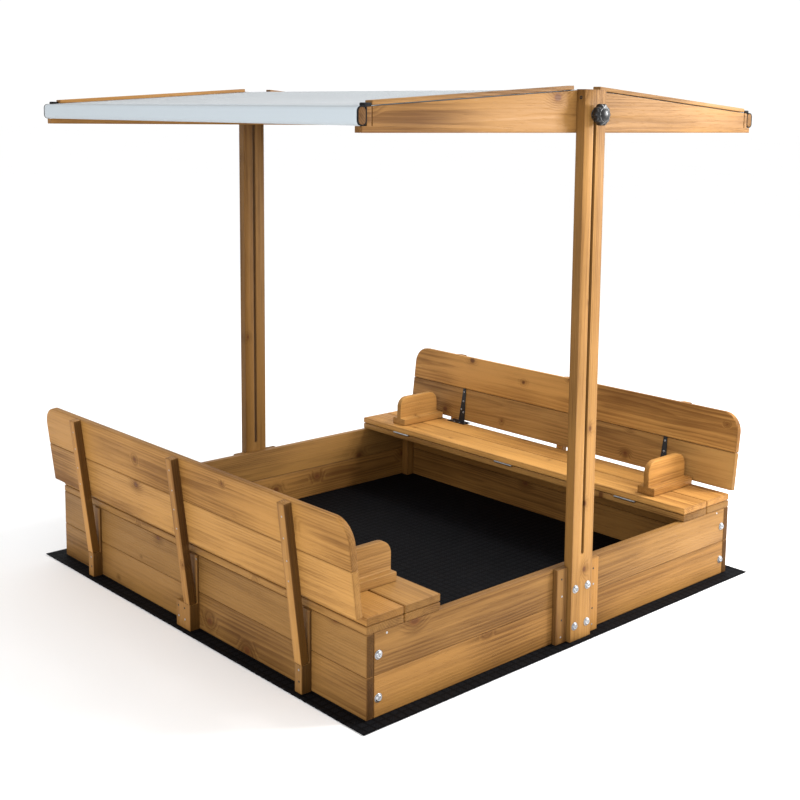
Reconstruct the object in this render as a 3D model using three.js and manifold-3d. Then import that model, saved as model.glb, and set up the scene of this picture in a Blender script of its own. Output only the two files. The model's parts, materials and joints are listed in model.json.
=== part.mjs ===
// Children's sandbox with fold-over bench lids and a height-adjustable, tilting canopy.
// Millimetres. +X runs along the post walls, +Y from the front post to the rear post, +Z is up.
// The origin is on the ground, under the middle of the box.
import * as THREE from 'three';
import { mergeVertices } from 'three/addons/utils/BufferGeometryUtils.js';
import Module from 'manifold-3d';

const wasm = await Module();
wasm.setup();

// ---------------------------------------------------------------- driving dimensions
const GAP = 0.3; // between pieces that rest on each other

const BOX_WIDTH = 1190; // X, over the bench walls
const BOX_DEPTH = 1210; // Y, over the post walls
const WALL_TOP = 172;
const WALL_THICKNESS = 18;

const LINER_THICKNESS = 1.5;
const LINER_OVERHANG = 38; // beyond the walls, all round

const POST_WIDTH = 68;
const POST_THICKNESS = 22;
const POST_TOP = 1200;
const POST_CLEAT_WIDTH = 34;
const POST_CLEAT_THICKNESS = 12;
const SLOT_WIDTH = 9;
const SLOT_BOTTOM = 196;
const SLOT_TOP = 1157;

const BOARD_THICKNESS = 16;
const BENCH_BOARD_WIDTH = 93.5;
const BENCH_BOARD_SPACING = 3;
const HINGE_LEAF_SPACE = 1.6; // the butt hinges' leaves lie in this gap under the seat

const BACK_LEAN = THREE.MathUtils.degToRad(7);
const BACK_BOARD_SPACING = 0.8;
const BACK_LOWER_WIDTH = 96;
const BACK_UPPER_WIDTH = 98.5;
const BACK_CORNER_RADIUS = 48;
const BACK_FOOT_OUTSIDE_WALL = 9; // inner face's lower edge, beyond the wall's outer face
const BACK_FOOT_LIFT = 5; // lower edge, above the seat

const BATTEN_WIDTH = 24;
const BATTEN_THICKNESS = 18.5;
const BATTEN_PLACES = { front: -424, middle: -16, rear: 424 }; // from the middle of the bench
const CLEAT_OUTER_WIDTH = 24;
const CLEAT_MIDDLE_WIDTH = 56; // the middle batten stands at its front edge
const CLEAT_THICKNESS = 25;
const CLEAT_LEDGE = 62; // height of the ledge that a batten stands on
const CLEAT_RECESS_THICKNESS = 5.5; // left above the ledge, so that the lifted batten swings clear

const ARMREST_BOARD_LENGTH = 152;
const ARMREST_BOARD_HEIGHT = 84;
const ARMREST_BOARD_THICKNESS = 16;
const ARMREST_CORNER_RADIUS = 30;
const ARMREST_CLEAT_LENGTH = 162;
const ARMREST_CLEAT_HEIGHT = 20;
const ARMREST_CLEAT_THICKNESS = 18;
const ARMREST_SETBACK = 21; // from the seat's inner edge
const ARMREST_PLACES = { front: -472, rear: 464 }; // middle of the armrest board

const STRAP_PLACES = { front: -390, rear: 370 }; // tee hinges, from the middle of the bench
const STRAP_LENGTH = 97;
const STRAP_THICKNESS = 2;
const STRAP_ROOT_WIDTH = 24;
const STRAP_TIP_WIDTH = 11;
const STRAP_BARREL_RADIUS = 2.1;
const STRAP_BARREL_LENGTH = 34;
const BACK_PIN_LIFT = 1.3; // tee hinge pin, above the seat
const BACK_PIN_OUTSIDE_WALL = 6; // and beyond the wall's outer face

const BEAM_BOTTOM = 1110;
const BEAM_THICKNESS = 20;
const BEAM_HALF_LENGTH = 600;
const BEAM_LIP_LENGTH = 12;
const BEAM_LIP_HEIGHT = 12;
const BEAM_RIDGE_TOP = 1199.5;
const BEAM_SLOPE = 0.0722;
const BEAM_POST_CLEARANCE = 1;
const BEAM_GROOVE_OFFSET = 588;
const BEAM_GROOVE_SIZE = 2;

const STRIP_HEIGHT = 8.5;
const STRIP_OUTER_END = 588;
const STRIP_INNER_END = 42;

const COVER_THICKNESS = 1.6;
const END_BAR_WIDTH = 17;
const END_BAR_HEIGHT = 31.5;
const END_BAR_RADIUS = 7.5;

const BOLT_HEIGHT = 1148; // canopy at the top of its travel
const BOLT_RADIUS = 4;
const BOLT_HOLE_RADIUS = 4.4;
const BOLT_HEAD_RADIUS = 9.5;
const BOLT_HEAD_HEIGHT = 4.5;
const BOLT_REACH = 19; // beyond the post's outer face

const KNOB_RADIUS = 22;
const KNOB_LOBE_DEPTH = 1.4;
const KNOB_LOBES = 10;
const KNOB_HUB_RADIUS = 11;
const KNOB_HUB_DEPTH = 8;
const KNOB_RIM_DEPTH = 15;
const KNOB_DOME_DEPTH = 7;

// ---------------------------------------------------------------- worked-out dimensions
const HALF_WIDTH = BOX_WIDTH / 2;
const HALF_DEPTH = BOX_DEPTH / 2;
const WALL_BOTTOM = LINER_THICKNESS + GAP;
const BENCH_BOTTOM = WALL_TOP + GAP;
const BENCH_TOP = BENCH_BOTTOM + BOARD_THICKNESS;
const SEAT_BOTTOM = BENCH_TOP + HINGE_LEAF_SPACE;
const SEAT_TOP = SEAT_BOTTOM + BOARD_THICKNESS;
const BENCH_INNER_EDGE = HALF_WIDTH - 2 * BENCH_BOARD_WIDTH - BENCH_BOARD_SPACING;
const BACK_HEIGHT = BACK_LOWER_WIDTH + BACK_BOARD_SPACING + BACK_UPPER_WIDTH;
const BACK_FOOT = new THREE.Vector2(HALF_WIDTH + BACK_FOOT_OUTSIDE_WALL, SEAT_TOP + BACK_FOOT_LIFT);
const BATTEN_INNER = BOARD_THICKNESS + GAP;
const POST_INNER_FACE = HALF_DEPTH + GAP;
const POST_OUTER_FACE = POST_INNER_FACE + POST_THICKNESS;
const BEAM_OUTER_FACE = POST_INNER_FACE - BEAM_POST_CLEARANCE;
const BEAM_INNER_FACE = BEAM_OUTER_FACE - BEAM_THICKNESS;
const END_BAR_CENTRE = new THREE.Vector2(
  BEAM_HALF_LENGTH + 2 * GAP + COVER_THICKNESS + END_BAR_WIDTH / 2,
  BEAM_BOTTOM + BEAM_LIP_HEIGHT + 2 * GAP + COVER_THICKNESS + END_BAR_HEIGHT / 2,
);

// ---------------------------------------------------------------- materials
function finish(colour, roughness, metalness = 0) {
  return new THREE.MeshStandardMaterial({ color: colour, roughness, metalness });
}

const frameWood = finish('#b98450', 0.62);
const seatWood = finish('#c59460', 0.6);
const canopyWood = finish('#d9b98f', 0.6);
const coverCloth = finish('#c6d0d6', 0.85);
const linerCloth = finish('#17181b', 0.9);
const blackSteel = finish('#1b1b1c', 0.5, 0.6);
const zincSteel = finish('#b9bcbf', 0.35, 1);
const blackPlastic = finish('#141416', 0.35);

// ---------------------------------------------------------------- shape helpers
const sandbox = new THREE.Group();

function addMesh(parent, name, geometry, material) {
  const mesh = new THREE.Mesh(geometry, material);
  mesh.name = name;
  parent.add(mesh);
  return mesh;
}

// A box between two corners.
function addBoard(parent, name, material, low, high) {
  const size = high.map((value, axis) => value - low[axis]);
  const mesh = addMesh(parent, name, new THREE.BoxGeometry(...size), material);
  mesh.position.set(...low.map((value, axis) => value + size[axis] / 2));
  return mesh;
}

function outline(points) {
  return new THREE.Shape(points.map(([x, y]) => new THREE.Vector2(x, y)));
}

// A shape drawn in X and Z, extruded from lowY to highY.
function extrudeAlongY(shape, lowY, highY, curveSegments = 8) {
  const geometry = new THREE.ExtrudeGeometry(shape, {
    depth: highY - lowY,
    bevelEnabled: false,
    curveSegments,
  });
  geometry.rotateX(Math.PI / 2);
  geometry.translate(0, highY, 0);
  return geometry;
}

function roundedRectangle(centreX, centreY, width, height, radius) {
  const left = centreX - width / 2;
  const right = centreX + width / 2;
  const low = centreY - height / 2;
  const high = centreY + height / 2;
  const shape = new THREE.Shape();
  shape.moveTo(left + radius, low);
  shape.lineTo(right - radius, low);
  shape.absarc(right - radius, low + radius, radius, -Math.PI / 2, 0);
  shape.lineTo(right, high - radius);
  shape.absarc(right - radius, high - radius, radius, 0, Math.PI / 2);
  shape.lineTo(left + radius, high);
  shape.absarc(left + radius, high - radius, radius, Math.PI / 2, Math.PI);
  shape.lineTo(left, low + radius);
  shape.absarc(left + radius, low + radius, radius, Math.PI, Math.PI * 1.5);
  return shape;
}

// A board outline with its two upper corners rounded.
function roundTopped(left, right, low, high, radius) {
  const shape = new THREE.Shape();
  shape.moveTo(left, low);
  shape.lineTo(right, low);
  shape.lineTo(right, high - radius);
  shape.absarc(right - radius, high - radius, radius, 0, Math.PI / 2);
  shape.lineTo(left + radius, high);
  shape.absarc(left + radius, high - radius, radius, Math.PI / 2, Math.PI);
  shape.closePath();
  return shape;
}

function toSolid(geometry) {
  const bare = geometry.clone();
  bare.deleteAttribute('normal');
  bare.deleteAttribute('uv');
  const merged = mergeVertices(bare, 1e-4);
  return new wasm.Manifold(new wasm.Mesh({
    numProp: 3,
    vertProperties: new Float32Array(merged.attributes.position.array),
    triVerts: new Uint32Array(merged.index.array),
  }));
}

function toGeometry(solid) {
  const mesh = solid.getMesh();
  const geometry = new THREE.BufferGeometry();
  geometry.setAttribute('position', new THREE.BufferAttribute(mesh.vertProperties, 3));
  geometry.setIndex(new THREE.BufferAttribute(mesh.triVerts, 1));
  geometry.computeVertexNormals();
  return geometry;
}

// Name of a side: -1 is left (or front), +1 is right (or rear).
const sideName = (side) => (side < 0 ? 'left' : 'right');
const endName = (end) => (end < 0 ? 'front' : 'rear');
const placeName = (place) => ['front', 'middle', 'rear'][place + 1];
const BOTH = [-1, 1];
const THREE_PLACES = [-1, 0, 1];

// Orders two signed limits, for a piece mirrored from side to side.
const span = (sign, near, far) => (sign < 0 ? [-far, -near] : [near, far]);

// ---------------------------------------------------------------- box
function addLiner() {
  const reachX = HALF_WIDTH + LINER_OVERHANG;
  const reachY = HALF_DEPTH + LINER_OVERHANG;
  addBoard(sandbox, 'ground_liner', linerCloth, [-reachX, -reachY, 0], [reachX, reachY, LINER_THICKNESS]);
}

function addWalls() {
  const middle = (WALL_BOTTOM + WALL_TOP) / 2;
  const courses = [
    ['lower', WALL_BOTTOM, middle - GAP / 2],
    ['upper', middle + GAP / 2, WALL_TOP],
  ];
  const inside = HALF_WIDTH - WALL_THICKNESS - GAP;
  for (const [course, low, high] of courses) {
    for (const side of BOTH) {
      const [x0, x1] = span(side, HALF_WIDTH - WALL_THICKNESS, HALF_WIDTH);
      const name = `${sideName(side)}_wall_${course}`;
      addBoard(sandbox, name, frameWood, [x0, -HALF_DEPTH, low], [x1, HALF_DEPTH, high]);
    }
    for (const end of BOTH) {
      const [y0, y1] = span(end, HALF_DEPTH - WALL_THICKNESS, HALF_DEPTH);
      const name = `${endName(end)}_wall_${course}`;
      addBoard(sandbox, name, frameWood, [-inside, y0, low], [inside, y1, high]);
    }
  }
}

// A cleat is full thickness up to its ledge, and cut back above it to make room for the batten.
function addWallCleats() {
  const root = HALF_WIDTH + GAP;
  const profile = [
    [root, WALL_BOTTOM],
    [HALF_WIDTH + CLEAT_THICKNESS, WALL_BOTTOM],
    [HALF_WIDTH + CLEAT_THICKNESS, CLEAT_LEDGE],
    [HALF_WIDTH + CLEAT_RECESS_THICKNESS, CLEAT_LEDGE],
    [HALF_WIDTH + CLEAT_RECESS_THICKNESS, WALL_TOP],
    [root, WALL_TOP],
  ];
  for (const side of BOTH) {
    const shape = outline(profile.map(([x, z]) => [side * x, z]));
    for (const place of THREE_PLACES) {
      const width = place === 0 ? CLEAT_MIDDLE_WIDTH : CLEAT_OUTER_WIDTH;
      const centre = place === 0 ? 0 : BATTEN_PLACES[placeName(place)];
      const geometry = extrudeAlongY(shape, centre - width / 2, centre + width / 2);
      addMesh(sandbox, `${sideName(side)}_wall_cleat_${placeName(place)}`, geometry, frameWood);
    }
  }
}

function addBenches() {
  const split = HALF_WIDTH - BENCH_BOARD_WIDTH;
  for (const side of BOTH) {
    const boards = [
      ['outer', split, HALF_WIDTH],
      ['inner', BENCH_INNER_EDGE, split - BENCH_BOARD_SPACING],
    ];
    for (const [place, near, far] of boards) {
      const [x0, x1] = span(side, near, far);
      const bench = `${sideName(side)}_bench_${place}`;
      const seat = `${sideName(side)}_seat_${place}`;
      addBoard(sandbox, bench, seatWood, [x0, -HALF_DEPTH, BENCH_BOTTOM], [x1, HALF_DEPTH, BENCH_TOP]);
      addBoard(sandbox, seat, seatWood, [x0, -HALF_DEPTH, SEAT_BOTTOM], [x1, HALF_DEPTH, SEAT_TOP]);
    }
  }
}

// ---------------------------------------------------------------- armrests
// An upright board with rounded upper corners, glued between two low cleats.
function addArmrests() {
  const near = BENCH_INNER_EDGE + ARMREST_SETBACK;
  const low = SEAT_TOP + GAP;
  const halfBoard = ARMREST_BOARD_THICKNESS / 2;
  const halfUnit = halfBoard + ARMREST_CLEAT_THICKNESS;
  for (const side of BOTH) {
    const [boardLeft, boardRight] = span(side, near, near + ARMREST_BOARD_LENGTH);
    const [cleatLeft, cleatRight] = span(side, near, near + ARMREST_CLEAT_LENGTH);
    const high = low + ARMREST_BOARD_HEIGHT;
    const upright = roundTopped(boardLeft, boardRight, low, high, ARMREST_CORNER_RADIUS);
    const foot = outline([
      [cleatLeft, low],
      [cleatRight, low],
      [cleatRight, low + ARMREST_CLEAT_HEIGHT],
      [cleatLeft, low + ARMREST_CLEAT_HEIGHT],
    ]);
    for (const end of BOTH) {
      const centre = ARMREST_PLACES[endName(end)];
      const board = toSolid(extrudeAlongY(upright, centre - halfBoard, centre + halfBoard));
      const cleats = toSolid(extrudeAlongY(foot, centre - halfUnit, centre + halfUnit));
      const name = `${sideName(side)}_armrest_${endName(end)}`;
      addMesh(sandbox, name, toGeometry(board.add(cleats)), seatWood);
    }
  }
}

// ---------------------------------------------------------------- backrests
// A backrest is drawn flat, with x along the bench, y up the board and z away from the sitter.
// Its origin is the inner face's lower edge, at the middle of the bench.
function makeBackFrame(side) {
  const frame = new THREE.Group();
  const along = new THREE.Vector3(0, side, 0);
  const up = new THREE.Vector3(side * Math.sin(BACK_LEAN), 0, Math.cos(BACK_LEAN));
  const outward = new THREE.Vector3(side * Math.cos(BACK_LEAN), 0, -Math.sin(BACK_LEAN));
  const matrix = new THREE.Matrix4().makeBasis(along, up, outward);
  matrix.setPosition(side * BACK_FOOT.x, 0, BACK_FOOT.y);
  matrix.decompose(frame.position, frame.quaternion, frame.scale);
  sandbox.add(frame);
  return frame;
}

function addBackBoards(frame, side) {
  const lower = [-HALF_DEPTH, 0, 0];
  const lowerTop = [HALF_DEPTH, BACK_LOWER_WIDTH, BOARD_THICKNESS];
  addBoard(frame, `${sideName(side)}_back_lower`, seatWood, lower, lowerTop);
  const upperLow = BACK_LOWER_WIDTH + BACK_BOARD_SPACING;
  const shape = roundTopped(-HALF_DEPTH, HALF_DEPTH, upperLow, BACK_HEIGHT, BACK_CORNER_RADIUS);
  const upper = new THREE.ExtrudeGeometry(shape, {
    depth: BOARD_THICKNESS,
    bevelEnabled: false,
    curveSegments: 10,
  });
  addMesh(frame, `${sideName(side)}_back_upper`, upper, seatWood);
}

function addBattens(frame, side) {
  const outer = BATTEN_INNER + BATTEN_THICKNESS;
  const drop = BACK_FOOT.y - CLEAT_LEDGE - 2 * GAP - outer * Math.sin(BACK_LEAN);
  const foot = -drop / Math.cos(BACK_LEAN);
  for (const place of THREE_PLACES) {
    const centre = side * BATTEN_PLACES[placeName(place)];
    const low = [centre - BATTEN_WIDTH / 2, foot, BATTEN_INNER];
    const high = [centre + BATTEN_WIDTH / 2, BACK_HEIGHT, outer];
    addBoard(frame, `${sideName(side)}_batten_${placeName(place)}`, frameWood, low, high);
  }
}

// The tapered leaf of a tee hinge, with its share of the barrel round the pin.
function addStraps(frame, side) {
  const pinOutside = BACK_PIN_OUTSIDE_WALL - BACK_FOOT_OUTSIDE_WALL;
  const pinLift = BACK_PIN_LIFT - BACK_FOOT_LIFT;
  const pinAlong = pinOutside * Math.sin(BACK_LEAN) + pinLift * Math.cos(BACK_LEAN);
  const pinInFront = pinOutside * Math.cos(BACK_LEAN) - pinLift * Math.sin(BACK_LEAN);
  const faceGap = GAP;
  const taper = outline([
    [-STRAP_ROOT_WIDTH / 2, pinAlong],
    [STRAP_ROOT_WIDTH / 2, pinAlong],
    [STRAP_TIP_WIDTH / 2, STRAP_LENGTH],
    [-STRAP_TIP_WIDTH / 2, STRAP_LENGTH],
  ]);
  const plate = new THREE.ExtrudeGeometry(taper, { depth: STRAP_THICKNESS, bevelEnabled: false });
  plate.translate(0, 0, -STRAP_THICKNESS - faceGap);
  const barrel = new THREE.CylinderGeometry(STRAP_BARREL_RADIUS, STRAP_BARREL_RADIUS, STRAP_BARREL_LENGTH, 16);
  barrel.rotateZ(Math.PI / 2);
  barrel.translate(0, pinAlong, pinInFront);
  const solid = toSolid(plate).add(toSolid(barrel));
  for (const end of BOTH) {
    const geometry = toGeometry(solid);
    geometry.translate(side * STRAP_PLACES[endName(end)], 0, 0);
    addMesh(frame, `${sideName(side)}_back_strap_${endName(end)}`, geometry, blackSteel);
  }
}

function addBackrests() {
  for (const side of BOTH) {
    const frame = makeBackFrame(side);
    addBackBoards(frame, side);
    addBattens(frame, side);
    addStraps(frame, side);
  }
}

// ---------------------------------------------------------------- posts
function addPosts() {
  const half = POST_WIDTH / 2;
  const shape = outline([
    [-half, WALL_BOTTOM],
    [half, WALL_BOTTOM],
    [half, POST_TOP],
    [-half, POST_TOP],
  ]);
  const slotCentre = (SLOT_BOTTOM + SLOT_TOP) / 2;
  const slotHeight = SLOT_TOP - SLOT_BOTTOM;
  shape.holes.push(roundedRectangle(0, slotCentre, SLOT_WIDTH, slotHeight, SLOT_WIDTH / 2));
  for (const end of BOTH) {
    const [y0, y1] = span(end, POST_INNER_FACE, POST_OUTER_FACE);
    addMesh(sandbox, `${endName(end)}_post`, extrudeAlongY(shape, y0, y1), frameWood);
    const [cleat0, cleat1] = span(end, HALF_DEPTH + GAP, HALF_DEPTH + GAP + POST_CLEAT_THICKNESS);
    for (const side of BOTH) {
      const [x0, x1] = span(side, half + 2, half + 2 + POST_CLEAT_WIDTH);
      const name = `${endName(end)}_post_cleat_${sideName(side)}`;
      addBoard(sandbox, name, frameWood, [x0, cleat0, WALL_BOTTOM], [x1, cleat1, WALL_TOP]);
    }
  }
}

// ---------------------------------------------------------------- canopy
const beamTopAt = (x) => BEAM_RIDGE_TOP - BEAM_SLOPE * Math.abs(x);

function beamShape() {
  const lipEnd = BEAM_HALF_LENGTH + BEAM_LIP_LENGTH;
  const lipTop = BEAM_BOTTOM + BEAM_LIP_HEIGHT;
  const shape = outline([
    [-lipEnd, BEAM_BOTTOM],
    [lipEnd, BEAM_BOTTOM],
    [lipEnd, lipTop],
    [BEAM_HALF_LENGTH, lipTop],
    [BEAM_HALF_LENGTH, beamTopAt(BEAM_HALF_LENGTH)],
    [0, BEAM_RIDGE_TOP],
    [-BEAM_HALF_LENGTH, beamTopAt(BEAM_HALF_LENGTH)],
    [-BEAM_HALF_LENGTH, lipTop],
    [-lipEnd, lipTop],
  ]);
  const hole = new THREE.Path();
  hole.absarc(0, BOLT_HEIGHT, BOLT_HOLE_RADIUS, 0, Math.PI * 2);
  shape.holes.push(hole);
  return shape;
}

// Each beam has a shallow upright groove near both ends of its outer face.
function addBeams() {
  const lipTop = BEAM_BOTTOM + BEAM_LIP_HEIGHT;
  const grooveHigh = beamTopAt(BEAM_GROOVE_OFFSET) + BEAM_GROOVE_SIZE;
  for (const end of BOTH) {
    const [y0, y1] = span(end, BEAM_INNER_FACE, BEAM_OUTER_FACE);
    let beam = toSolid(extrudeAlongY(beamShape(), y0, y1));
    for (const side of BOTH) {
      const grooveSize = [BEAM_GROOVE_SIZE, 2 * BEAM_GROOVE_SIZE, grooveHigh - lipTop];
      const groove = new THREE.BoxGeometry(...grooveSize);
      const grooveMiddle = (grooveHigh + lipTop) / 2;
      groove.translate(side * BEAM_GROOVE_OFFSET, end * BEAM_OUTER_FACE, grooveMiddle);
      beam = beam.subtract(toSolid(groove));
    }
    addMesh(sandbox, `${endName(end)}_beam`, toGeometry(beam), canopyWood);
  }
}

// Two strips clamp the cover's edge onto each beam, one on either slope.
function addStrips() {
  const lift = COVER_THICKNESS + 2 * GAP;
  for (const end of BOTH) {
    const [y0, y1] = span(end, BEAM_INNER_FACE, BEAM_OUTER_FACE);
    for (const side of BOTH) {
      const innerLow = beamTopAt(STRIP_INNER_END) + lift;
      const outerLow = beamTopAt(STRIP_OUTER_END) + lift;
      const shape = outline([
        [side * STRIP_INNER_END, innerLow],
        [side * STRIP_OUTER_END, outerLow],
        [side * STRIP_OUTER_END, outerLow + STRIP_HEIGHT],
        [side * STRIP_INNER_END, innerLow + STRIP_HEIGHT],
      ]);
      const name = `${endName(end)}_strip_${sideName(side)}`;
      addMesh(sandbox, name, extrudeAlongY(shape, y0, y1), canopyWood);
    }
  }
}

function addEndBars() {
  for (const side of BOTH) {
    const { x, y } = END_BAR_CENTRE;
    const shape = roundedRectangle(side * x, y, END_BAR_WIDTH, END_BAR_HEIGHT, END_BAR_RADIUS);
    const geometry = extrudeAlongY(shape, -BEAM_OUTER_FACE, BEAM_OUTER_FACE);
    addMesh(sandbox, `${sideName(side)}_end_bar`, geometry, canopyWood);
  }
}

// One sheet over both slopes, with a sleeve round each end bar.
function addCover() {
  const clearance = 2 * GAP;
  const growth = clearance + 2 * COVER_THICKNESS;
  const reach = BEAM_OUTER_FACE - GAP;
  const { x, y } = END_BAR_CENTRE;
  const low = (offset) => beamTopAt(offset) + GAP;
  const roof = outline([
    [-x, low(x)],
    [0, low(0)],
    [x, low(x)],
    [x, low(x) + COVER_THICKNESS],
    [0, low(0) + COVER_THICKNESS],
    [-x, low(x) + COVER_THICKNESS],
  ]);
  let cover = toSolid(extrudeAlongY(roof, -reach, reach));
  for (const side of BOTH) {
    const outerSize = [END_BAR_WIDTH + growth, END_BAR_HEIGHT + growth];
    const innerSize = [END_BAR_WIDTH + clearance, END_BAR_HEIGHT + clearance];
    const outerRadius = END_BAR_RADIUS + growth / 2;
    const innerRadius = END_BAR_RADIUS + clearance / 2;
    const outer = roundedRectangle(side * x, y, ...outerSize, outerRadius);
    const inner = roundedRectangle(side * x, y, ...innerSize, innerRadius);
    cover = cover.add(toSolid(extrudeAlongY(outer, -reach, reach)));
    cover = cover.subtract(toSolid(extrudeAlongY(inner, -reach - 1, reach + 1)));
  }
  addMesh(sandbox, 'canopy_cover', toGeometry(cover), coverCloth);
}

// ---------------------------------------------------------------- clamps
// The revolved profiles have radius first and then height, which becomes distance along Y.
function revolve(points, segments) {
  return new THREE.LatheGeometry(points.map(([r, y]) => new THREE.Vector2(r, y)), segments);
}

function boltGeometry() {
  const headFace = BEAM_INNER_FACE - GAP;
  const headTop = headFace - BOLT_HEAD_HEIGHT;
  const dome = [];
  const steps = 5;
  for (let i = 0; i <= steps; i += 1) {
    const angle = (i / steps) * (Math.PI / 2);
    const radius = BOLT_HEAD_RADIUS * Math.sin(angle);
    dome.push([radius, headFace - 1 - (BOLT_HEAD_HEIGHT - 1) * Math.cos(angle)]);
  }
  dome[0] = [0, headTop];
  const tip = POST_OUTER_FACE + BOLT_REACH;
  const profile = [...dome, [BOLT_HEAD_RADIUS, headFace], [BOLT_RADIUS, headFace], [BOLT_RADIUS, tip], [0, tip]];
  return revolve(profile, 24);
}

// A lobed rim with a domed face on a round hub, bored for the bolt.
function knobGeometry() {
  const back = POST_OUTER_FACE + 2 * GAP;
  const rimBack = back + KNOB_HUB_DEPTH;
  const rimFront = rimBack + KNOB_RIM_DEPTH;
  const peak = rimFront + KNOB_DOME_DEPTH;
  const lobes = [];
  const lobePoints = KNOB_LOBES * 8;
  for (let i = 0; i < lobePoints; i += 1) {
    const angle = (i / lobePoints) * Math.PI * 2;
    const radius = KNOB_RADIUS + KNOB_LOBE_DEPTH * Math.cos(KNOB_LOBES * angle);
    lobes.push([radius * Math.cos(angle), radius * Math.sin(angle)]);
  }
  const rim = toSolid(extrudeAlongY(outline(lobes), rimBack, peak));
  const reach = KNOB_RADIUS + KNOB_LOBE_DEPTH + 1;
  const envelope = [[0, rimBack - 1], [reach - 4, rimBack - 1], [reach, rimBack + 3], [reach, rimFront - 3]];
  const steps = 8;
  for (let i = 0; i <= steps; i += 1) {
    const angle = (i / steps) * (Math.PI / 2);
    envelope.push([(reach - 1) * Math.cos(angle), rimFront + KNOB_DOME_DEPTH * Math.sin(angle)]);
  }
  envelope[envelope.length - 1] = [0, peak];
  const hub = revolve([[0, back], [KNOB_HUB_RADIUS, back], [KNOB_HUB_RADIUS, rimBack + 2], [0, rimBack + 2]], 32);
  const boreEnd = POST_OUTER_FACE + BOLT_REACH + GAP;
  const bore = revolve([[0, back - 1], [BOLT_HOLE_RADIUS, back - 1], [BOLT_HOLE_RADIUS, boreEnd], [0, boreEnd]], 24);
  const body = rim.intersect(toSolid(revolve(envelope, 64))).add(toSolid(hub));
  return toGeometry(body.subtract(toSolid(bore)));
}

function addClamps() {
  for (const end of BOTH) {
    const place = new THREE.Group();
    place.position.z = BOLT_HEIGHT;
    place.rotation.z = end < 0 ? Math.PI : 0;
    sandbox.add(place);
    addMesh(place, `${endName(end)}_clamp_bolt`, boltGeometry(), zincSteel);
    addMesh(place, `${endName(end)}_clamp_knob`, knobGeometry(), blackPlastic);
  }
}

// ---------------------------------------------------------------- assembly
addLiner();
addWalls();
addWallCleats();
addBenches();
addArmrests();
addBackrests();
addPosts();
addBeams();
addStrips();
addEndBars();
addCover();
addClamps();

export default sandbox;
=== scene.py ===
import json
import math
import random

import bmesh
import bpy
from mathutils import Matrix, Vector, noise


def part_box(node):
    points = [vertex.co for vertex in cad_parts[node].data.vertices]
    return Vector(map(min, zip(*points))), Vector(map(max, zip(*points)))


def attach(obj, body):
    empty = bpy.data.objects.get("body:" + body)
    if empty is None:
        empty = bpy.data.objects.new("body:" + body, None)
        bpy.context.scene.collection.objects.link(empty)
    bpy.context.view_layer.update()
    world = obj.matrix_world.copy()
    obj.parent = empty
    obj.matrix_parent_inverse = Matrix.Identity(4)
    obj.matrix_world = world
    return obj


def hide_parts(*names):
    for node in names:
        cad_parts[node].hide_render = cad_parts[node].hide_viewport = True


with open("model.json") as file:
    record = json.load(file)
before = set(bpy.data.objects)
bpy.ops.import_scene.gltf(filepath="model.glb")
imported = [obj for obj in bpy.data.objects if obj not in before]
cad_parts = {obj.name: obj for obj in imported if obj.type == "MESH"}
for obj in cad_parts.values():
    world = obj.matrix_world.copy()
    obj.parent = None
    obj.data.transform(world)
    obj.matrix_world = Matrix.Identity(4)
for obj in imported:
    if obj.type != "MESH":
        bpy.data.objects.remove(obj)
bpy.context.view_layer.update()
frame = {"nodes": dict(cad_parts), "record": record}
NODES = frame["nodes"]
SLOT_OF = {part["node"]: part["material_slot"] for part in frame["record"]["subparts"]}

SIDES = {"left": -1, "right": 1}
ENDS = {"front": -1, "rear": 1}
LEAN = math.radians(7)  # of the backrests
RIB_PITCH = 0.02  # of the liner's woven ribs
# A board's narrow-side darkening (stain and painted shade) and end grain stain, from 0 to 1, and its
# brightness,
# which is painted light: it scales the colour up on boards that stand in light and down on those in
# shade.
EVEN_STAIN_NO_PAINTED_LIGHT = (0.0, 0.5, 1.0)


def node_box(name):
    low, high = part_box(name)
    return Vector(low), Vector(high)


# ---------------------------------------------------------------- camera
def make_camera():
    data = bpy.data.cameras.new("camera")
    data.sensor_width = 36
    data.lens = 56.03
    data.shift_x = -0.0525
    data.shift_y = -0.1437
    camera = bpy.data.objects.new("camera", data)
    camera.location = (-2.03, -2.312, 1.143)
    heading = Matrix.Rotation(math.radians(-43.46), 3, "Z")
    tilt = Matrix.Rotation(math.radians(90 - 7.77), 3, "X")
    roll = Matrix.Rotation(math.radians(0.75), 3, "Z")
    camera.rotation_euler = (heading @ tilt @ roll).to_euler()
    bpy.context.collection.objects.link(camera)
    bpy.context.scene.camera = camera


# ---------------------------------------------------------------- node helpers
def add_node(tree, kind, inputs=None, **settings):
    made = tree.nodes.new(kind)
    for key, value in settings.items():
        setattr(made, key, value)
    for key, value in (inputs or {}).items():
        socket = made.inputs[key]
        if isinstance(value, bpy.types.NodeSocket):
            tree.links.new(value, socket)
        else:
            socket.default_value = value
    return made


def maths(tree, operation, *values):
    inputs = dict(enumerate(values))
    return add_node(tree, "ShaderNodeMath", inputs, operation=operation).outputs[0]


def vector_maths(tree, operation, *values):
    inputs = dict(enumerate(values))
    return add_node(tree, "ShaderNodeVectorMath", inputs, operation=operation).outputs[0]


def ramp_between(tree, value, low, high, to_low=0.0, to_high=1.0):
    inputs = {"Value": value, "From Min": low, "From Max": high, "To Min": to_low, "To Max": to_high}
    made = add_node(tree, "ShaderNodeMapRange", inputs, interpolation_type="SMOOTHSTEP")
    return made.outputs[0]


def stretched_noise(tree, place, stretch, detail=2.0, roughness=0.5):
    vector = vector_maths(tree, "MULTIPLY", place, stretch)
    inputs = {"Vector": vector, "Scale": 1.0, "Detail": detail, "Roughness": roughness}
    return add_node(tree, "ShaderNodeTexNoise", inputs).outputs[0]


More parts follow.
